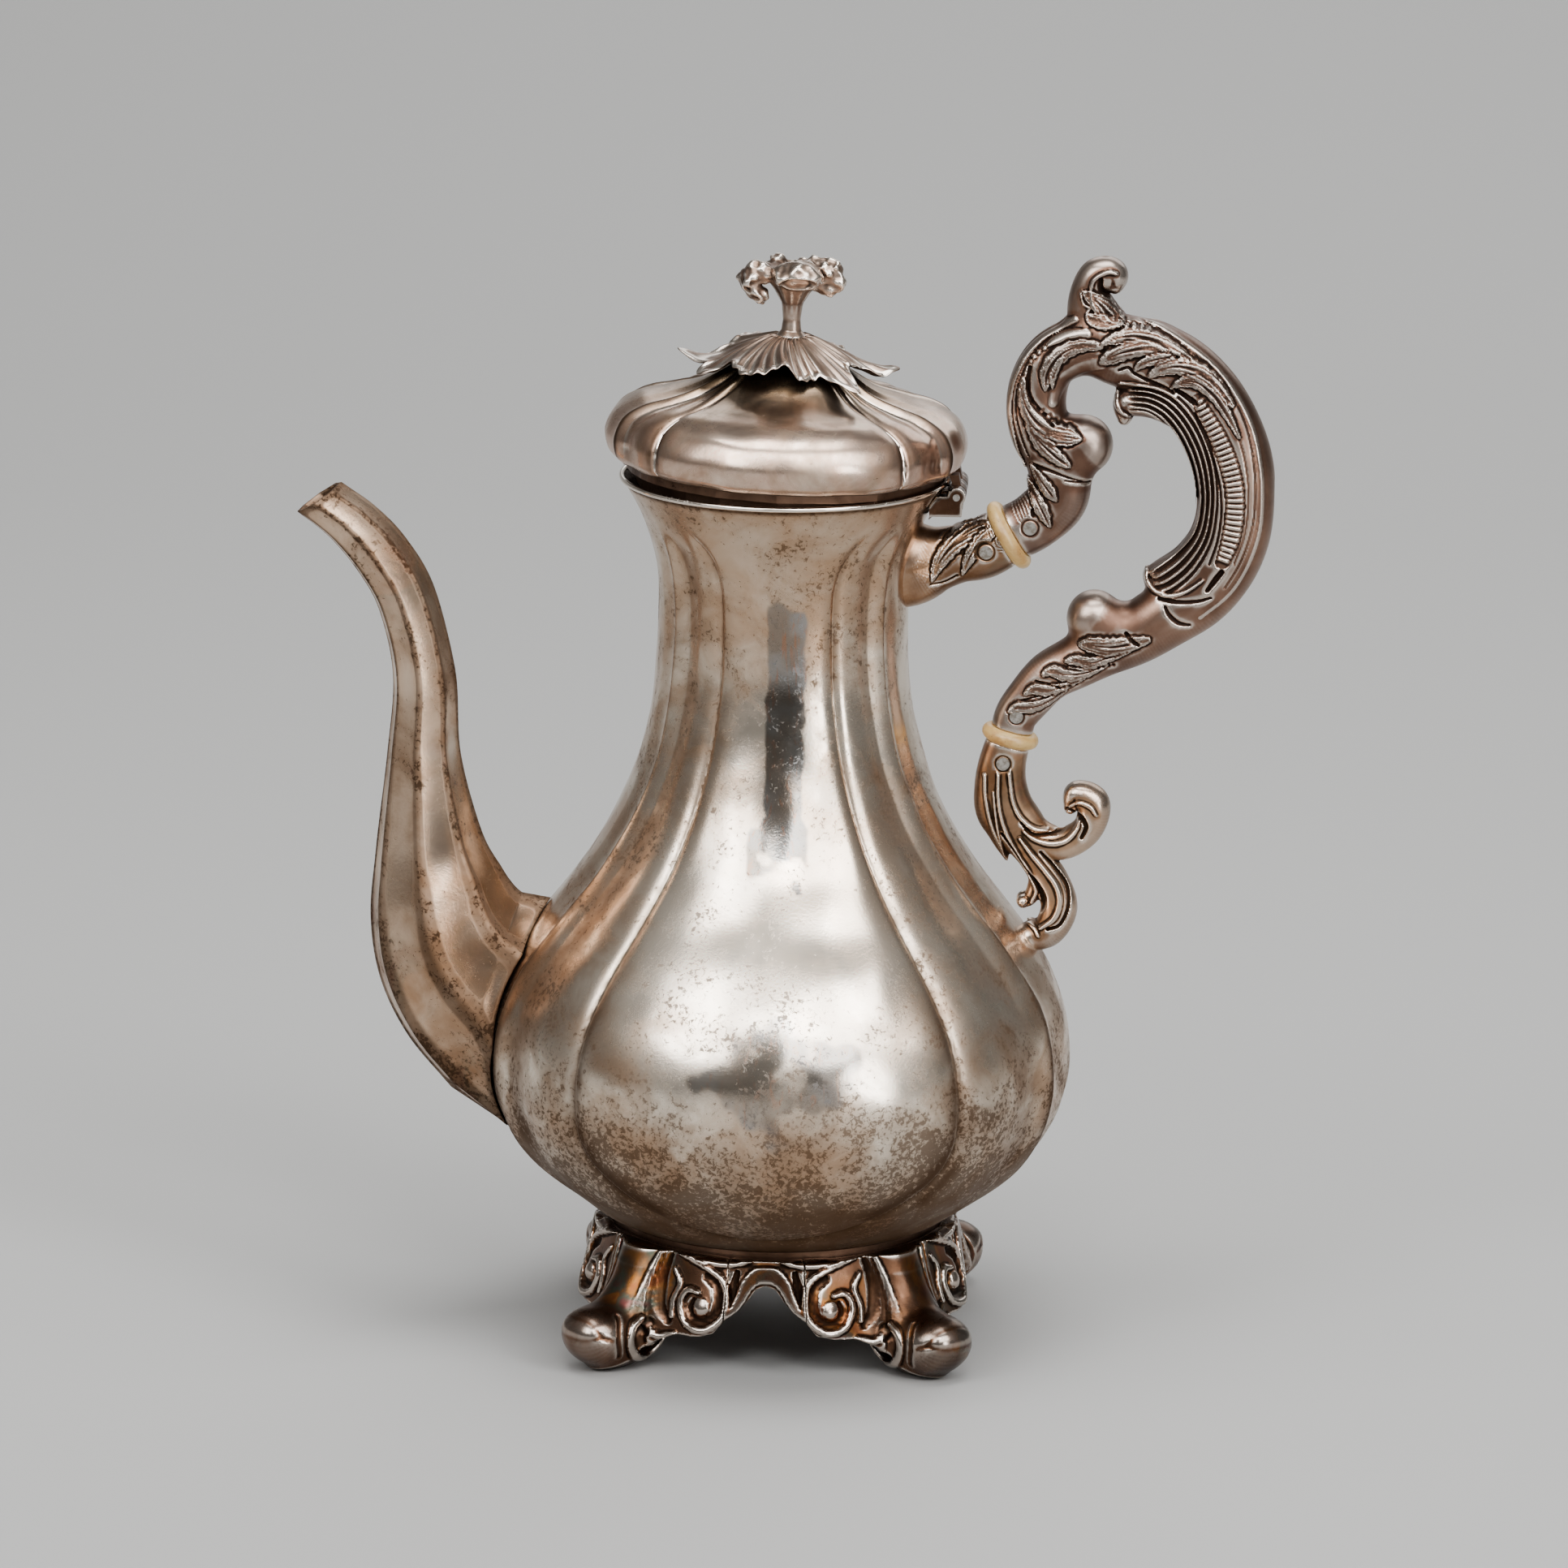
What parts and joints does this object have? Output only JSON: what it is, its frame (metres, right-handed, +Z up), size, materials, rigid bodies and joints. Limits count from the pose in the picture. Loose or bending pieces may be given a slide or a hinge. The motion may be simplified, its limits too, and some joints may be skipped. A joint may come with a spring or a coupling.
{
  "type": "silver coffee pot",
  "caption": "Tall lobed pear-shaped coffee pot on scroll feet, with a faceted swan-neck spout, a hinged domed lid with a blossom finial, and a leafy scroll handle held between insulating rings.",
  "frame": {"origin": "on the pot's vertical axis, on the table under the middle of the four feet", "axes": "+Z up, spout towards -X, handle towards +X, front towards -Y"},
  "size_m": [0.2216, 0.1338, 0.2522],
  "materials": {
    "body_silver": "tarnished polished silver, brown speckles in the hollows",
    "spout_silver": "tarnished polished silver, browner",
    "lid_silver": "tarnished satin silver, pinkish brown",
    "handle_silver": "cast silver, dark in the recesses, worn bright on the edges",
    "finial_silver": "cast silver, dark in the recesses",
    "foot_silver": "heavily tarnished cast silver",
    "dark_silver": "heavily tarnished silver",
    "pin_metal": "dull grey metal",
    "ivory": "polished ivory-coloured, stained yellow-brown"
  },
  "bodies": {
    "pot": {"body_shell": "body_silver", "bottom_disc": "dark_silver", "mouth_wire": "body_silver", "spout": "spout_silver", "foot_collar": "dark_silver", "foot_front_left": "foot_silver", "foot_front_right": "foot_silver", "foot_back_right": "foot_silver", "foot_back_left": "foot_silver", "apron_front": "foot_silver", "apron_right": "foot_silver", "apron_back": "foot_silver", "apron_left": "foot_silver", "hinge_bracket": "dark_silver", "hinge_pin": "pin_metal", "upper_socket": "handle_silver", "lower_socket": "handle_silver", "handle_grip": "handle_silver", "upper_insulator": "ivory", "lower_insulator": "ivory", "upper_socket_pin": "pin_metal", "upper_grip_pin": "pin_metal", "lower_grip_pin": "pin_metal", "lower_socket_pin": "pin_metal"},
    "lid": {"lid_shell": "lid_silver", "lid_bezel": "dark_silver", "lid_hinge_leaf": "dark_silver", "finial_leaf": "finial_silver", "finial_blossom": "finial_silver", "finial_stud": "pin_metal", "finial_washer": "pin_metal", "finial_nut": "pin_metal"}
  },
  "joints": [
    {"name": "lid_hinge", "type": "hinge", "parent": "pot", "child": "lid", "pos_m": [0.03925, 0, 0.1982], "axis": [0, 1, 0], "range_deg": [0, 46]}
  ]
}
